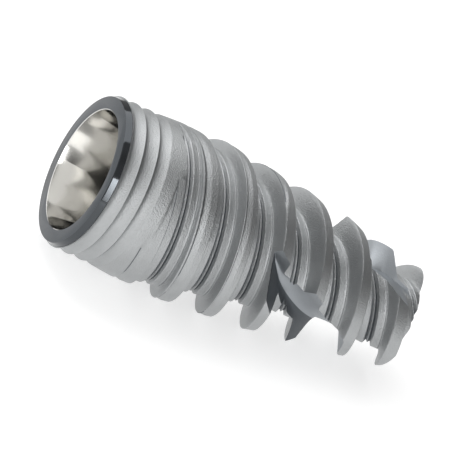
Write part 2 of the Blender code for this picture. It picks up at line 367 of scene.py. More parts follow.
class ImplantStage(bpy.types.PropertyGroup):
    floor_colour: FloatVectorProperty(
        name="Floor", description="Colour of the studio floor",
        subtype="COLOR", size=3, min=0.0, max=1.0, default=srgb("#CACACA"))
    floor_glow: FloatProperty(
        name="Floor glow", description="What the floor needs on top of its light to look white",
        default=0.62, min=0.0)
    key_radiance: FloatProperty(
        name="Key softbox", description="Brightness of the large softbox behind, where white is 1",
        default=1.45, min=0.0)
    strip_radiance: FloatProperty(
        name="Strip softbox", description="Brightness of the narrow softbox in front",
        default=9.0, min=0.0)
    surroundings: FloatProperty(
        name="Surroundings", description="Brightness of the studio's even light",
        default=0.32, min=0.0)


def thread_corners(bead):
    """Corners of one pitch as (distance along, share of the depth, step in radius)."""
    floor = CREST_WIDTH + APICAL_FLANK
    groove = floor + FLOOR_WIDTH
    land = groove + 4.0 * GROOVE_WIDTH
    land_end = land + LAND_WIDTH
    land_top = FLOOR_RISE + LAND_RISE
    return (
        (0.0, 1.0, 0.0),
        (CREST_WIDTH, 1.0, -CREST_FALL),
        (floor, 0.0, 0.0),
        (groove, 0.0, FLOOR_RISE),
        (groove + GROOVE_WIDTH, 0.0, -GROOVE_DEPTH),
        (groove + 2.0 * GROOVE_WIDTH, 0.0, -RIDGE_DROP),
        (groove + 3.0 * GROOVE_WIDTH, 0.0, -GROOVE_DEPTH),
        (land, 0.0, FLOOR_RISE),
        (land_end - BEAD_WIDTH, 0.0, land_top),
        (land_end - 0.5 * BEAD_WIDTH, 0.0, land_top + bead),
        (land_end, 0.0, land_top),
    )


def thread_profile(rounding, bead):
    """Points of one pitch, with each corner rounded by averaging the profile across it."""
    corners = thread_corners(bead)
    land_end = corners[-1][0]

    def sharp(along):
        along = along % PITCH
        if along > land_end:
            t = (along - land_end) / (PITCH - land_end)
            hollow = 4.0 * (FLANK_HOLLOW - 0.5) * t * (1.0 - t)
            return t + hollow, corners[-1][2] * (1.0 - t)
        for (a0, share0, step0), (a1, share1, step1) in zip(corners, corners[1:]):
            if along <= a1:
                t = (along - a0) / (a1 - a0)
                return blend(share0, share1, t), blend(step0, step1, t)
        return 0.0, corners[-1][2]

    stations = []
    for along, _, _ in corners:
        stations += [along - rounding, along, along + rounding]
    stations[0] += PITCH
    stations += [CREST_WIDTH * (i + 1) / (CREST_POINTS + 1) for i in range(CREST_POINTS)]
    stations += [blend(CREST_WIDTH, corners[2][0], t) for t in APICAL_FLANK_POINTS]
    stations += [blend(land_end, PITCH, t) for t in CORONAL_FLANK_POINTS]
    points = []
    for along in sorted(stations):
        values = []
        for i in range(ROUNDING_SAMPLES):
            reach = blend(-rounding, rounding, i / (ROUNDING_SAMPLES - 1))
            values.append(sharp(along + reach))
        share = sum(v[0] for v in values) / ROUNDING_SAMPLES
        step = sum(v[1] for v in values) / ROUNDING_SAMPLES
        points.append(Vector((along * MM, share, step * MM)))
    return points


def head_profile():
    """Turned profile from the platform's edge to where the threaded skin starts."""
    band_top = PLATFORM_RADIUS + BAND_FLARE
    points = [
        (0.0, PLATFORM_RADIUS - BAND_EDGE),
        (0.3 * BAND_EDGE, PLATFORM_RADIUS - 0.3 * BAND_EDGE),
    ]
    for t in BAND_POINTS:
        z = blend(BAND_EDGE, BAND_HEIGHT - 0.5 * BAND_EDGE, t)
        points.append((z, blend(PLATFORM_RADIUS, band_top, t)))
    points.append((BAND_HEIGHT, band_top - 0.25 * BAND_EDGE))
    start = BAND_HEIGHT
    for edge in RING_EDGES:
        for i in range(RING_POINTS + 1):
            t = i / RING_POINTS
            side = RING_FALL if t < RING_FALL else 1.0 - RING_FALL
            beside = (t - RING_FALL) / side
            radius = RING_RADIUS - RING_GROOVE_DEPTH * (1.0 - beside ** 2)
            points.append((blend(start, edge, t), radius))
        start = edge
    return [Vector((z * MM, radius * MM, 0.0)) for z, radius in points]


def polyline(name, points):
    """Hidden wire of points that a node tree samples by their number."""
    data = bpy.data.meshes.new(name)
    data.from_pydata(points, [(i, i + 1) for i in range(len(points) - 1)], [])
    obj = bpy.data.objects.new(name, data)
    bpy.context.scene.collection.objects.link(obj)
    return obj


def crest_nodes(tree, given, z):
    """Radius of the thread's outer envelope: a collar that flares out, then a bulging taper."""
    reach = add(tree, MAP, z, given["Widest At"], given["Crest End At"], 0.0, 1.0)
    taper = add(tree, MAP, reach, 0.0, 1.0, given["Thread Radius"], given["End Crest Radius"])
    left = add(tree, MATH, 1.0, reach, operation="SUBTRACT")
    bulge = add(tree, MATH, reach, left, operation="MULTIPLY")
    swell = add(tree, MATH, given["Crest Bulge"], 4.0, operation="MULTIPLY")
    crest = add(tree, MATH, bulge, swell, taper, operation="MULTIPLY_ADD")
    ease = add(tree, MAP, z, given["Collar End At"], given["Widest At"], 1.0, 0.0)
    ease = add(tree, MATH, ease, 2.0, operation="POWER")
    flare = add(tree, MATH, given["Collar Radius"], given["Thread Radius"], operation="SUBTRACT")
    return add(tree, MATH, ease, flare, crest, operation="MULTIPLY_ADD")


def core_nodes(tree, given, z, start_radius):
    """Radius of the thread's root: a steep cone, then a slimmer one that closes in at the tip."""
    steep = add(
        tree, MAP, z, given["Core Start At"], given["Core Break At"], start_radius,
        given["Core Break Radius"], clamp=False)
    slim = add(
        tree, MAP, z, given["Core Break At"], given["Core End At"], given["Core Break Radius"],
        given["Core End Radius"])
    core = add(tree, MATH, steep, slim, operation="MAXIMUM")
    tip = add(tree, MAP, z, given["Core End At"], given["Length"], 0.0, 1.0)
    tip = add(tree, MATH, tip, 2.0, operation="POWER")
    drop = add(tree, MATH, given["Core Tip Radius"], given["Core End Radius"], operation="SUBTRACT")
    return add(tree, MATH, tip, drop, core, operation="MULTIPLY_ADD")


def crest_groove_nodes(tree, given, z, beside):
    """V groove along the crests of the first turns: its depth, and where its steep wall lies, which is
    painted dark as shade.
    """
    half_pitch = add(tree, MATH, given["Pitch"], 0.5, operation="MULTIPLY")
    beside = add(tree, MATH, beside, half_pitch, operation="ADD")
    beside = add(tree, MATH, beside, given["Pitch"], operation="FLOORED_MODULO")
    beside = add(tree, MATH, beside, half_pitch, operation="SUBTRACT")
    before = add(tree, MATH, given["Crest Groove Fall"], -1.0, operation="MULTIPLY")
    fall = add(tree, MAP, beside, before, 0.0, 0.0, given["Crest Groove Depth"])
    rise = add(tree, MAP, beside, 0.0, given["Crest Groove Rise"], given["Crest Groove Depth"], 0.0)
    depth = add(tree, MATH, fall, rise, operation="MINIMUM")
    opened = add(tree, MATH, given["Crest Groove Start At"], given["Run Out"], operation="ADD")
    fade_in = add(
        tree, MAP, z, given["Crest Groove Start At"], opened, 0.0, 1.0,
        interpolation_type="SMOOTHSTEP")
    closing = add(tree, MATH, given["Crest Groove End At"], given["Run Out"], operation="SUBTRACT")
    fade_out = add(
        tree, MAP, z, closing, given["Crest Groove End At"], 1.0, 0.0,
        interpolation_type="SMOOTHSTEP")
    depth = add(tree, MATH, depth, fade_in, operation="MULTIPLY")
    depth = add(tree, MATH, depth, fade_out, operation="MULTIPLY")
    # The steep wall, where the groove is deep enough, is painted dark as shade.
    steep = add(tree, MATH, beside, WELD * MM, operation="LESS_THAN")
    shade_from = CREST_GROOVE_SHADE_FROM * CREST_GROOVE_DEPTH * MM
    cut = add(tree, MATH, depth, shade_from, operation="GREATER_THAN")
    return depth, add(tree, MATH, steep, cut, operation="MULTIPLY")


def flank_shift_nodes(tree, given, along, depth):
    """How far points slide along the axis to keep the flanks' slope on a shallow thread.

    Its crest grows wider by what its flanks lose in length.
    """
    spare = add(tree, MAP, depth, 0.0, given["Full Depth"], 1.0, 0.0)
    on_crest = add(tree, MATH, along, given["Crest Width"], operation="DIVIDE")
    foot = add(tree, MATH, given["Crest Width"], given["Apical Flank"], operation="ADD")
    on_flank = add(tree, MAP, along, given["Crest Width"], foot, 1.0, 0.0, clamp=False)
    apical = add(tree, MATH, on_crest, on_flank, operation="MINIMUM")
    apical = add(tree, MATH, apical, 0.0, operation="MAXIMUM")
    apical = add(tree, MATH, apical, given["Apical Flank"], operation="MULTIPLY")
    off_crest = add(tree, MATH, 1.0, on_crest, operation="SUBTRACT")
    on_rise = add(tree, MAP, along, given["Land End At"], given["Pitch"], 0.0, 1.0)
    coronal = add(tree, MATH, off_crest, on_rise, operation="MAXIMUM")
    rise = add(tree, MATH, given["Pitch"], given["Land End At"], operation="SUBTRACT")
    coronal = add(tree, MATH, coronal, rise, operation="MULTIPLY")
    shift = add(tree, MATH, apical, coronal, operation="SUBTRACT")
    return add(tree, MATH, shift, spare, operation="MULTIPLY")


def groove_shade_nodes(tree, given, along, offset):
    """Where the fine grooves' steep walls and the crease at the flank's foot lie, which are painted
    dark as shade.
    """
    shade_from = -GROOVE_SHADE_FROM * GROOVE_DEPTH * MM
    # The deeper halves of the fine grooves and a strip at the flank's foot get painted shade.
    in_groove_shade = add(tree, MATH, offset, shade_from, operation="LESS_THAN")
    foot = add(tree, MATH, given["Crest Width"], given["Apical Flank"], operation="ADD")
    in_shaded_crease = add(tree, MATH, along, foot, SHADED_CREASE_HALF_WIDTH * MM, operation="COMPARE")
    return add(tree, MATH, in_groove_shade, in_shaded_crease, operation="MAXIMUM")


def grid_nodes(tree, columns, rows):
    """Flat grid that will be wrapped round the axis, with the numbers of column and row."""
    across = add(tree, MATH, columns, 1.0, operation="ADD")
    mesh = add(tree, "GeometryNodeMeshGrid", columns, rows - 1.0, across, rows)
    place = add(tree, "ShaderNodeSeparateXYZ", add(tree, "GeometryNodeInputPosition")).node.outputs
    column = add(tree, MATH, columns, 0.5, place["X"], operation="MULTIPLY_ADD")
    row = add(tree, MATH, place["Y"], 0.5 * (rows - 1.0), operation="ADD")
    return mesh, add(tree, MATH, column, operation="ROUND"), add(tree, MATH, row, operation="ROUND")


def sample_nodes(tree, wire, index):
    """The three numbers that a wire's point of a given number holds."""
    shape = add(tree, "GeometryNodeObjectInfo", wire, transform_space="ORIGINAL").node
    place = add(
        tree, "GeometryNodeSampleIndex", shape.outputs["Geometry"],
        add(tree, "GeometryNodeInputPosition"), index, data_type="FLOAT_VECTOR")
    return add(tree, "ShaderNodeSeparateXYZ", place).node.outputs


def wrap_nodes(tree, mesh, turn, z, radius):
    """Move a grid onto the surface at an angle, height and radius."""
    angle = add(tree, MATH, turn, operation="FRACT")
    angle = add(tree, MATH, angle, 2.0 * math.pi, operation="MULTIPLY")
    x = add(tree, MATH, radius, add(tree, MATH, angle, operation="COSINE"), operation="MULTIPLY")
    y = add(tree, MATH, radius, add(tree, MATH, angle, operation="SINE"), operation="MULTIPLY")
    place = add(tree, "ShaderNodeCombineXYZ", x, y, z)
    return add(tree, "GeometryNodeSetPosition", mesh, Position=place)


def skin_tree(profile_count, head_count):
    """Node tree for the closed outer skin: platform, turned head, helical thread and apex."""
    tree = bpy.data.node_groups.new("threaded_skin", "GeometryNodeTree")
    tree.interface.new_socket("Geometry", in_out="OUTPUT", socket_type="NodeSocketGeometry")
    # The groove material is painted shade: a darker colour on the grooves' steep walls and the flank's
    # foot.
    finishes = ("Blasted", "Groove Painted Shade", "Band Finish", "Platform Finish")
    inputs = [("Profile", "Object"), ("Head", "Object"), ("Columns", "Int"), ("Starts", "Int")]
    inputs += [(name, "Float") for name in SKIN_SIZES]
    inputs += [(name, "Material") for name in finishes]
    for name, kind in inputs:
        tree.interface.new_socket(name, in_out="INPUT", socket_type="NodeSocket" + kind)
    given = add(tree, "NodeGroupInput").node.outputs

    turns_beyond_ends = 3 * STARTS + 2
    rows = int(((LENGTH + NOSE_ALLOWANCE) / PITCH + turns_beyond_ends) * profile_count)
    mesh, column, row = grid_nodes(tree, given["Columns"], rows)
    turn = add(tree, MATH, column, given["Columns"], operation="DIVIDE")
    step = add(tree, MATH, row, float(profile_count), operation="FLOORED_MODULO")
    pitches = add(tree, MATH, row, 0.5, operation="ADD")
    pitches = add(tree, MATH, pitches, float(profile_count), operation="DIVIDE")
    pitches = add(tree, MATH, pitches, operation="FLOOR")
    along, share, offset = sample_nodes(tree, given["Profile"], step)
    z = add(tree, MATH, pitches, given["Pitch"], given["First Crest"], operation="MULTIPLY_ADD")
    lead = add(tree, MATH, given["Pitch"], given["Starts"], operation="MULTIPLY")
    z = add(tree, MATH, lead, turn, z, operation="MULTIPLY_ADD")
    level = add(tree, MATH, z, along, operation="ADD")

    start_radius = crest_nodes(tree, given, given["Core Start At"])
    crest = crest_nodes(tree, given, level)
    core = core_nodes(tree, given, level, start_radius)
    depth = add(tree, MATH, crest, core, operation="SUBTRACT")
    shift = flank_shift_nodes(tree, given, along, depth)
    z = add(tree, MATH, level, shift, operation="ADD")
    z = add(tree, MATH, z, given["Collar End At"], operation="MAXIMUM")
    z = add(tree, MATH, z, given["Length"], operation="MINIMUM")

    crest = crest_nodes(tree, given, z)
    core = core_nodes(tree, given, z, start_radius)
    depth = add(tree, MATH, crest, core, operation="SUBTRACT")
    radius = add(tree, MATH, depth, share, core, operation="MULTIPLY_ADD")
    radius = add(tree, MATH, radius, offset, operation="ADD")
    radius = add(tree, MATH, radius, crest, operation="MINIMUM")
    cut_in = add(tree, MATH, given["Thread Start At"], CUT_IN * MM, operation="ADD")
    cut_in = add(tree, MAP, z, given["Thread Start At"], cut_in, 0.0, 1.0)
    radius = add(tree, MATH, radius, crest, operation="SUBTRACT")
    radius = add(tree, MATH, radius, cut_in, crest, operation="MULTIPLY_ADD")
    beside = add(tree, MATH, along, shift, operation="ADD")
    groove, on_shaded_wall = crest_groove_nodes(tree, given, z, beside)
    radius = add(tree, MATH, radius, groove, operation="SUBTRACT")
    before_end = add(tree, MATH, given["Length"], LEVEL_GAP * MM, operation="SUBTRACT")
    at_end = add(tree, MATH, z, before_end, operation="GREATER_THAN")
    radius = add(tree, "ShaderNodeMix", at_end, radius, given["End Radius"])
    mesh = add(tree, "GeometryNodeSetMaterial", mesh, Material=given["Blasted"])
    # The grooves' steep walls, the flank's foot and the crest groove's steep wall take the darker
    # material as painted shade.
    in_groove_shade = groove_shade_nodes(tree, given, along, offset)
    in_groove_shade = add(tree, MATH, in_groove_shade, cut_in, operation="MULTIPLY")
    in_groove_shade = add(tree, MATH, in_groove_shade, on_shaded_wall, operation="MAXIMUM")
    mesh = add(
        tree, "GeometryNodeSetMaterial", mesh, Selection=in_groove_shade, Material=given["Groove Painted Shade"])
    thread = wrap_nodes(tree, mesh, turn, z, radius)

    mesh, column, row = grid_nodes(tree, given["Columns"], head_count)
    turn = add(tree, MATH, column, given["Columns"], operation="DIVIDE")
    z, radius, _ = sample_nodes(tree, given["Head"], row)
    mesh = add(tree, "GeometryNodeSetMaterial", mesh, Material=given["Blasted"])
    head = wrap_nodes(tree, mesh, turn, z, radius)

    ends = ((0.0, (PLATFORM_RADIUS - BAND_EDGE) * MM), (given["Length"], given["End Radius"]))
    discs = []
    for z, radius in ends:
        disc = add(tree, "GeometryNodeMeshCircle", given["Columns"], radius, fill_type="NGON")
        disc = add(tree, "GeometryNodeSetMaterial", disc, Material=given["Blasted"])
        height = add(tree, "ShaderNodeCombineXYZ", Z=z)
        discs.append(add(tree, "GeometryNodeTransform", disc, Translation=height))
    joined = add(tree, "GeometryNodeJoinGeometry", [thread, head, *discs])
    welded = add(tree, "GeometryNodeMergeByDistance", joined, Distance=WELD * MM)
    smooth = add(tree, "GeometryNodeSetShadeSmooth", welded)
    place = add(tree, "ShaderNodeSeparateXYZ", add(tree, "GeometryNodeInputPosition")).node.outputs
    band = add(tree, MATH, place["Z"], given["Band Height"], operation="LESS_THAN")
    solid = add(tree, "GeometryNodeRealizeInstances", smooth)
    solid = add(tree, "GeometryNodeSetMaterial", solid, Selection=band, Material=given["Band Finish"])
    flat = add(tree, MATH, place["Z"], WELD * MM, operation="LESS_THAN")
    solid = add(
        tree, "GeometryNodeSetMaterial", solid, Selection=flat, Material=given["Platform Finish"])
    add(tree, "NodeGroupOutput", solid)
    return tree


def set_inputs(modifier, values):
    """Set a node modifier's inputs, found by name and set by identifier."""
    for item in modifier.node_group.interface.items_tree:
        if item.item_type == "SOCKET" and item.in_out == "INPUT" and item.name in values:
            modifier[item.identifier] = values[item.name]


def evaluated_copy(obj, name):
    """Plain mesh object of what the viewport shows of an object."""
    bpy.context.view_layer.update()
    graph = bpy.context.evaluated_depsgraph_get()
    data = bpy.data.meshes.new_from_object(obj.evaluated_get(graph), depsgraph=graph)
    data.name = name
    made = bpy.data.objects.new(name, data)
    bpy.context.scene.collection.objects.link(made)
    return made


def turned(name, points, sides, first_angle=0.0):
    """Closed cutter turned about the axis from (distance along, radius) points."""
    mesh = bmesh.new()
    rings = []
    for z, radius in points:
        ring = []
        for side in range(sides):
            angle = math.radians(first_angle) + 2.0 * math.pi * side / sides
            place = Vector((radius * math.cos(angle), radius * math.sin(angle), z))
            ring.append(mesh.verts.new(place * MM))
        rings.append(ring)
    mesh.faces.new(list(reversed(rings[0])))
    for lower, upper in zip(rings, rings[1:]):
        for c in range(sides):
            n = (c + 1) % sides
            mesh.faces.new((lower[c], lower[n], upper[n], upper[c]))
    mesh.faces.new(rings[-1])
    bmesh.ops.recalc_face_normals(mesh, faces=mesh.faces)
    return mesh_object(name, mesh)


def mesh_object(name, mesh):
    """Smooth-shaded object of a mesh that is still being edited."""
    data = bpy.data.meshes.new(name)
    mesh.to_mesh(data)
    mesh.free()
    data.shade_smooth()
    obj = bpy.data.objects.new(name, data)
    bpy.context.scene.collection.objects.link(obj)
    return obj


def nose_stock(columns):
    """Solid that the body must stay inside: wide round the thread, then turned to the nose."""
    wide = THREAD_RADIUS + 2.0 * CREST_BULGE
    start = LENGTH - NOSE_LENGTH
    points = [(-CUTTER_OVERRUN, wide), (start, wide), (start, NOSE_RADIUS)]
    for i in range(1, NOSE_POINTS + 1):
        fall = math.sin(0.5 * math.pi * i / NOSE_POINTS)
        left = (1.0 - fall ** NOSE_FULLNESS) ** (1.0 / NOSE_FULLNESS)
        radius = blend(NOSE_FLAT_RADIUS, NOSE_RADIUS, left)
        points.append((LENGTH - NOSE_LENGTH * (1.0 - fall), radius))
    return turned("nose_stock", points, columns)


def socket_cutters(columns):
    """Cutters for the socket's cone, for its hexagon and for the screw bore."""
    slope = math.tan(math.radians(CONE_HALF_ANGLE))
    hex_flat = 0.5 * HEX_ACROSS_FLATS
    floor = (MOUTH_RADIUS - hex_flat) / slope + CONE_OVERLAP
    cone = turned("socket_cone", (
        (-CUTTER_OVERRUN, MOUTH_RADIUS + MOUTH_CHAMFER + CUTTER_OVERRUN),
        (MOUTH_CHAMFER, MOUTH_RADIUS - MOUTH_CHAMFER * slope),
        (floor, MOUTH_RADIUS - floor * slope),
    ), columns, 180.0 / columns)
    corner = hex_flat / math.cos(math.pi / HEX_SIDES)
    ends = ((-CUTTER_OVERRUN, corner), (HEX_DEPTH, corner))
    hexagon = turned("socket_hex", ends, HEX_SIDES, HEX_CORNER_ANGLE)
    tip = SCREW_BORE_RADIUS / math.tan(math.radians(DRILL_TIP_ANGLE))
    bore = turned("screw_bore", (
        (HEX_DEPTH - CUTTER_OVERRUN, SCREW_BORE_RADIUS),
        (SCREW_BORE_DEPTH, SCREW_BORE_RADIUS),
        (SCREW_BORE_DEPTH + tip, DRILL_TIP_RADIUS),
    ), columns // 2)
    return [cone, hexagon, bore]


def between(stations, z):
    """Values of a table of stations, read at a height between them."""
    for lower, upper in zip(stations, stations[1:]):
        if z < upper[0]:
            t = clamp((z - lower[0]) / (upper[0] - lower[0]), 0.0, 1.0)
            return [blend(a, b, t) for a, b in zip(lower[1:], upper[1:])]
    return stations[-1][1:]


def flute_section(z):
    """Cross-section of the flute's cutter at a height, turned to its place about the axis.

    Where the flute starts, its wall and its cutting face meet in a V and leave almost no floor.
    """
    run = z - FLUTE_START_AT
    foot, lean = between(FLUTE_WALL_STATIONS, z)
    root_x, root_lift, edge_angle = between(FLUTE_FACE_STATIONS, z)
    lift = FLUTE_RUN_IN * max(0.0, 1.0 - run / FLUTE_RUN_IN_LENGTH)
    heel = Vector((foot, FLUTE_FLOOR_DISTANCE + lift))
    root = Vector((root_x, FLUTE_FLOOR_DISTANCE + root_lift))
    edge_turn = math.radians(edge_angle)
    edge = FLUTE_EDGE_RADIUS * Vector((math.sin(edge_turn), math.cos(edge_turn)))
    up_face = (edge - root).normalized()
    up_wall = Vector((-math.cos(math.radians(lean)), math.sin(math.radians(lean))))
    face_end = root + FLUTE_REACH * up_face
    wall_end = heel + FLUTE_REACH * up_wall
    meeting = intersect_line_line_2d(heel, wall_end, root, face_end)
    if meeting:
        heel = meeting - Vector((0.5 * FLUTE_LEAST_FLOOR, 0.0))
        root = meeting + Vector((0.5 * FLUTE_LEAST_FLOOR, 0.0))
    fillet = min(FLUTE_FILLET, FLUTE_FILLET_SHARE * (root - heel).length)
    on_floor = root + fillet * (heel - root).normalized()
    on_face = root + fillet * up_face
    outline = [heel]
    for i in range(FLUTE_FILLET_POINTS + 1):
        t = i / FLUTE_FILLET_POINTS
        outline.append((1.0 - t) ** 2 * on_floor + 2.0 * t * (1.0 - t) * root + t * t * on_face)
    top = 2.0 * FLUTE_REACH
    outline += [face_end, Vector((face_end.x, top)), Vector((wall_end.x, top)), wall_end]
    steps = [FLUTE_WALL_HEIGHT * i / FLUTE_WALL_POINTS for i in range(1, FLUTE_WALL_POINTS + 1)]
    outline += [heel + step * up_wall for step in reversed(steps)]
    turn = math.radians(FLUTE_FLOOR_START_ANGLE + FLUTE_FLOOR_TURN * run)
    outward = Vector((math.cos(turn), math.sin(turn), 0.0))
    sideways = Vector((-math.sin(turn), math.cos(turn), 0.0))
    return [outward * p.y + sideways * p.x + Vector((0.0, 0.0, z)) for p in outline]


def flute(name, first_angle):
    """Cutter for one spiral flute, lofted through its sections.

    Its second material, darker as painted shade, covers the cutting face and the half of the fillet
    that leads up to it.
    """
    # Columns that take the dark material, painted shade, on the cutting face and its half of the
    # fillet.
    on_cutting_face = (FLUTE_FILLET_POINTS // 2 + 1, FLUTE_FILLET_POINTS + 1)
    mesh = bmesh.new()
    turn = Matrix.Rotation(math.radians(first_angle), 3, "Z")
    end = LENGTH + CUTTER_OVERRUN
    sections = []
    for i in range(FLUTE_SECTIONS):
        z = blend(FLUTE_START_AT, end, i / (FLUTE_SECTIONS - 1))
        sections.append([mesh.verts.new((turn @ place) * MM) for place in flute_section(z)])
    count = len(sections[0])
    for lower, upper in zip(sections, sections[1:]):
        for c in range(count):
            n = (c + 1) % count
            face = mesh.faces.new((lower[c], lower[n], upper[n], upper[c]))
            face.material_index = int(on_cutting_face[0] <= c <= on_cutting_face[1])
    mesh.faces.new(sections[0])
    mesh.faces.new(sections[-1])
    bmesh.ops.triangulate(mesh, faces=mesh.faces)
    bmesh.ops.recalc_face_normals(mesh, faces=mesh.faces)
    return mesh_object(name, mesh)


def lying_turn(tilt):
    """Rotation that lays the axis along +X and lowers the apex by a tilt."""
    roll = math.radians(REST_ROLL)
    columns = Matrix((
        (0.0, 0.0, 1.0),
        (-math.cos(roll), -math.sin(roll), 0.0),
        (math.sin(roll), -math.cos(roll), 0.0),
    ))
    return Matrix.Rotation(tilt, 3, "Y") @ columns


def implant_place():
    """Matrix from the implant's own frame to where the frame's platform mount puts it."""
    mount = next(m for m in frame["record"]["mounts"] if m["name"] == "platform")
    axis = Vector(mount["axis"]).normalized()
    turn = lying_turn(math.asin(axis.z))
    ring = 0.5 * (PLATFORM_RADIUS + MOUTH_RADIUS) * MM
    centre = Vector(mount["pos_m"]) - turn @ Vector((ring, 0.0, 0.0))
    return Matrix.Translation(centre) @ turn.to_4x4()


def new_material(name, colour, metallic, roughness):
    """Material of one colour, to whose Principled shader a pattern can be linked."""
    material = bpy.data.materials.new(name)
    material.use_nodes = True
    shader = material.node_tree.nodes["Principled BSDF"]
    shader.inputs["Base Color"].default_value = (*colour, 1.0)
    shader.inputs["Metallic"].default_value = metallic
    shader.inputs["Roughness"].default_value = roughness
    return material


def blasted_titanium(finish):
    """Grit-blasted and etched titanium: a soft grey with fine pits and faint clouds.

    The pits are 0.04 mm wide, as coarse as they need to be to show. Real ones may be finer.
    """
    material = new_material("grit_blasted_titanium", finish.blasted_colour, 1.0, BLASTED_ROUGHNESS)
    tree = material.node_tree
    shader = tree.nodes["Principled BSDF"]
    place = add(tree, "ShaderNodeTexCoord").node.outputs["Object"]
    pits = add(tree, "ShaderNodeTexNoise", place, Scale=1.0 / finish.grit, Detail=PIT_DETAIL)
    cloud = CLOUD_PITS * finish.grit
    clouds = add(tree, "ShaderNodeTexNoise", place, Scale=1.0 / cloud, Detail=CLOUD_DETAIL)
    base = Vector(finish.blasted_colour)
    dark = (*(base * CLOUD_DARK), 1.0)
    light = (*(base * CLOUD_LIGHT), 1.0)
    colour = add(tree, "ShaderNodeMix", clouds, dark, light, data_type="RGBA")
    tree.links.new(colour, shader.inputs["Base Color"])
    bump = add(tree, "ShaderNodeBump", Strength=1.0, Distance=PIT_DEPTH * MM, Height=pits)
    tree.links.new(bump, shader.inputs["Normal"])
    return material


def ground_titanium(finish):
    """Titanium ground by the flute's wheel: a grey near the blasted one, with shallower relief.

    A wheel's grain is too fine to show, so it is drawn 0.04 mm wide, as coarse as the pits.
    """
    material = new_material("ground_titanium", finish.ground_colour, 1.0, GROUND_ROUGHNESS)
    tree = material.node_tree
    place = add(tree, "ShaderNodeTexCoord").node.outputs["Object"]
    grain = add(tree, "ShaderNodeTexNoise", place, Scale=1.0 / finish.grit)
    bump = add(tree, "ShaderNodeBump", Strength=1.0, Distance=GRIND_DEPTH * MM, Height=grain)
    tree.links.new(bump, tree.nodes["Principled BSDF"].inputs["Normal"])
    return material


def polished_titanium(finish):
    """Turned and polished titanium of the socket: a clear mirror for the floor and the studio."""
    return new_material("polished_titanium", finish.polished_colour, 1.0, POLISHED_ROUGHNESS)


def band_titanium(finish):
    """Polished band round the platform: a dark mirror, in which the strip softbox is a white streak."""
    return new_material("band_titanium", finish.band_colour, 1.0, BAND_ROUGHNESS)


def cutting_face_painted_shade(finish):
    """Ground cutting face of a flute: a satin whose dark colour is painted shade and painted dark
    reflection, which set off the thread's teeth.

    The photograph shows it dark from shade and from a dark studio's reflection. Here its colour paints
    that shade and reflection.
    """
    return new_material("cutting_face_painted_shade", finish.cutting_face_shade_colour, 1.0, CUTTING_ROUGHNESS)


def painted_groove_shade(finish):
    """Painted shade on the grooves' steep walls and on the flank's foot: a darker colour that draws
    them as thin shaded lines.

    The photograph shows these lines dark, and the white floor would light them.
    """
    return new_material("painted_groove_shade", finish.groove_shade_colour, 1.0, GROOVE_SHADE_ROUGHNESS)


def platform_titanium(finish):
    """Fine-turned platform face: a flat dark satin grey."""
    return new_material("platform_titanium", finish.platform_colour, 1.0, PLATFORM_ROUGHNESS)


class IMPLANT_OT_body(bpy.types.Operator):
    """Make the implant: threaded skin, socket and cutting flutes in one mesh"""

    bl_idname = "implant.body"
    bl_label = "Implant Body"

    def execute(self, context):
        sizes = context.scene.implant_sizes
        finish = context.scene.implant_finish
        blasted = blasted_titanium(finish)
        ground = ground_titanium(finish)
        polished = polished_titanium(finish)
        platform = platform_titanium(finish)
        band = band_titanium(finish)
        # Dark material for the cutting faces: painted shade and painted dark reflection.
        cutting = cutting_face_painted_shade(finish)
        # Darker material for the grooves: painted shade.
        groove = painted_groove_shade(finish)
        profile_points = thread_profile(sizes.edge_rounding / MM, sizes.bead_height / MM)
        head_points = head_profile()
        profile = polyline("thread_profile", profile_points)
        head = polyline("head_profile", head_points)
        source = polyline("threaded_skin", [Vector()])
        modifier = source.modifiers.new("threaded_skin", "NODES")
        modifier.node_group = skin_tree(len(profile_points), len(head_points))
        set_inputs(modifier, {name: size * MM for name, size in SKIN_SIZES.items()})
        set_inputs(modifier, {
            "Profile": profile,
            "Head": head,
            "Columns": sizes.columns,
            "Starts": STARTS,
            "Blasted": blasted,
            "Groove Painted Shade": groove,
            "Band Finish": band,
            "Platform Finish": platform,
        })
        skin = evaluated_copy(source, "implant_skin")
        face_outward(skin.data)
        cuts = [(nose_stock(sizes.columns), "INTERSECT", [blasted])]
        cuts += [(cutter, "DIFFERENCE", [polished]) for cutter in socket_cutters(sizes.columns)]
        for i in range(FLUTES):
            cutter = flute(f"flute_{i + 1}", 360.0 * i / FLUTES)
            cuts.append((cutter, "DIFFERENCE", [ground, cutting]))
        for cutter, operation, finishes in cuts:
            for material in finishes:
                cutter.data.materials.append(material)
            cut = skin.modifiers.new(cutter.name, "BOOLEAN")
            cut.operation = operation
            cut.solver = "EXACT"
            cut.material_mode = "TRANSFER"
            cut.object = cutter
        body = evaluated_copy(skin, "threaded_implant")
        for i in reversed(range(len(body.data.materials))):
            if not body.data.materials[i]:
                body.data.materials.pop(index=i)
        body.data.set_sharp_from_angle(angle=math.radians(SHARP_ANGLE))
        body.data.transform(implant_place())
        for obj in (profile, head, source, skin, *(cutter for cutter, _, _ in cuts)):
            bpy.data.objects.remove(obj)
        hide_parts("implant_body")
        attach(body, "root")
        return {"FINISHED"}


def face_outward(data):
    """Turn the faces of a closed mesh outward."""
    mesh = bmesh.new()
    mesh.from_mesh(data)
    bmesh.ops.recalc_face_normals(mesh, faces=mesh.faces)
    mesh.to_mesh(data)
    mesh.free()


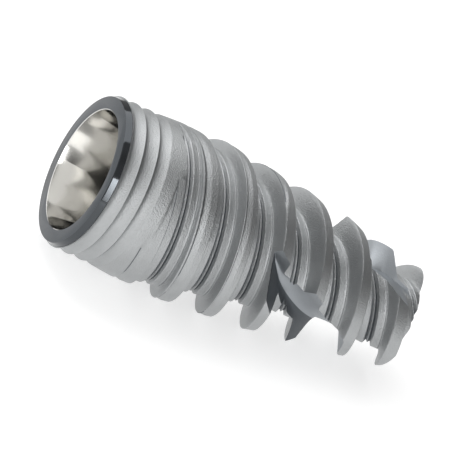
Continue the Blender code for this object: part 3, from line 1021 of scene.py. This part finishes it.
def softbox(name, shape, centre, angles, radiance):
    """Lamp that faces the implant, from a direction and of a size that are given as angles."""
    azimuth, height, width, tall = (math.radians(angle) for angle in angles)
    level = math.cos(height)
    toward = Vector((math.cos(azimuth) * level, math.sin(azimuth) * level, math.sin(height)))
    data = bpy.data.lights.new(name, "AREA")
    data.shape = shape
    data.size = 2.0 * LAMP_DISTANCE * math.tan(0.5 * width)
    data.size_y = 2.0 * LAMP_DISTANCE * math.tan(0.5 * tall)
    filled = 0.25 * math.pi if shape == "ELLIPSE" else 1.0
    data.energy = radiance * math.pi * filled * data.size * data.size_y
    obj = bpy.data.objects.new(name, data)
    obj.location = centre + toward * LAMP_DISTANCE
    obj.rotation_euler = (-toward).to_track_quat("-Z", "Y").to_euler()
    bpy.context.scene.collection.objects.link(obj)


class IMPLANT_OT_stage(bpy.types.Operator):
    """Make the pale floor, the studio light and the camera at the photograph's angle"""

    bl_idname = "implant.stage"
    bl_label = "Studio Stage"

    def execute(self, context):
        scene = context.scene
        stage = scene.implant_stage
        floor = studio_floor(stage)
        place = implant_place()
        turn = place.to_3x3()
        right = (turn @ VIEW_RIGHT).normalized()
        up = -(turn @ VIEW_DOWN).normalized()
        back = right.cross(up).normalized()
        up = back.cross(right).normalized()
        shift = right * PLATFORM_TO_CENTRE_RIGHT - up * PLATFORM_TO_CENTRE_DOWN
        centre = place.translation + shift * MM
        data = bpy.data.cameras.new("camera")
        data.type = "ORTHO"
        data.ortho_scale = PHOTO_WIDTH_PX / PIXELS_PER_MM * MM
        data.clip_start = CAMERA_CLIP_START
        data.clip_end = CAMERA_CLIP_END
        camera = bpy.data.objects.new("camera", data)
        axes = Matrix((right, up, back)).transposed().to_4x4()
        camera.matrix_world = Matrix.Translation(centre + back * CAMERA_DISTANCE) @ axes
        scene.collection.objects.link(camera)
        scene.camera = camera
        softbox("key_softbox", "ELLIPSE", centre, KEY_SOFTBOX, stage.key_radiance)
        softbox("strip_softbox", "RECTANGLE", centre, STRIP_SOFTBOX, stage.strip_radiance)
        studio_world(scene, stage)
        scene.view_settings.view_transform = "Standard"
        return {"FINISHED"}


def studio_floor(stage):
    """Matte white paper, which takes a soft shadow and looks white where light reaches it."""
    mesh = bmesh.new()
    bmesh.ops.create_grid(mesh, x_segments=1, y_segments=1, size=FLOOR_HALF_SIZE)
    floor = mesh_object("studio_floor", mesh)
    material = new_material("white_paper", stage.floor_colour, 0.0, PAPER_ROUGHNESS)
    tree = material.node_tree
    shader = tree.nodes["Principled BSDF"]
    shader.inputs["Emission Color"].default_value = (1.0, 1.0, 1.0, 1.0)
    path = add(tree, "ShaderNodeLightPath").node.outputs
    seen = add(tree, MATH, path["Is Camera Ray"], path["Is Glossy Ray"], operation="MAXIMUM")
    seen = add(tree, MATH, seen, path["Is Transmission Ray"], operation="MAXIMUM")
    glow = add(tree, MATH, seen, stage.floor_glow, operation="MULTIPLY")
    tree.links.new(glow, shader.inputs["Emission Strength"])
    floor.data.materials.append(material)
    return floor


def studio_world(scene, stage):
    """Even studio light with brighter and darker patches, which give the metal its contrast."""
    world = bpy.data.worlds.new("studio")
    world.use_nodes = True
    scene.world = world
    tree = world.node_tree
    direction = add(tree, "ShaderNodeTexCoord").node.outputs["Generated"]
    level = stage.surroundings
    for patch, inner, outer, brightness in STUDIO_PATCHES:
        toward = add(
            tree, "ShaderNodeVectorMath", direction, Vector(patch).normalized(),
            operation="DOT_PRODUCT").node.outputs["Value"]
        edge = math.cos(math.radians(outer))
        core = math.cos(math.radians(inner))
        inside = add(tree, MAP, toward, edge, core, 0.0, 1.0, interpolation_type="SMOOTHSTEP")
        level = add(tree, "ShaderNodeMix", inside, level, brightness)
    background = tree.nodes["Background"]
    background.inputs["Color"].default_value = (1.0, 1.0, 1.0, 1.0)
    tree.links.new(level, background.inputs["Strength"])


class IMPLANT_PT_panel(bpy.types.Panel):
    """Sizes, finishes and the steps that build the scene"""

    bl_idname = "IMPLANT_PT_panel"
    bl_label = "Dental Implant"
    bl_space_type = "VIEW_3D"
    bl_region_type = "UI"
    bl_category = "Implant"

    def draw(self, context):
        scene = context.scene
        for group in (scene.implant_sizes, scene.implant_finish, scene.implant_stage):
            box = self.layout.box()
            for name in group.__annotations__:
                box.prop(group, name)
        self.layout.operator(IMPLANT_OT_body.bl_idname)
        self.layout.operator(IMPLANT_OT_stage.bl_idname)


CLASSES = (
    ImplantSizes,
    ImplantFinish,
    ImplantStage,
    IMPLANT_OT_body,
    IMPLANT_OT_stage,
    IMPLANT_PT_panel,
)


def register():
    for cls in CLASSES:
        bpy.utils.register_class(cls)
    bpy.types.Scene.implant_sizes = PointerProperty(type=ImplantSizes)
    bpy.types.Scene.implant_finish = PointerProperty(type=ImplantFinish)
    bpy.types.Scene.implant_stage = PointerProperty(type=ImplantStage)


def unregister():
    for name in ("implant_sizes", "implant_finish", "implant_stage"):
        delattr(bpy.types.Scene, name)
    for cls in reversed(CLASSES):
        bpy.utils.unregister_class(cls)


def main():
    register()
    bpy.ops.implant.body()
    bpy.ops.implant.stage()


if __name__ == "__main__":
    main()
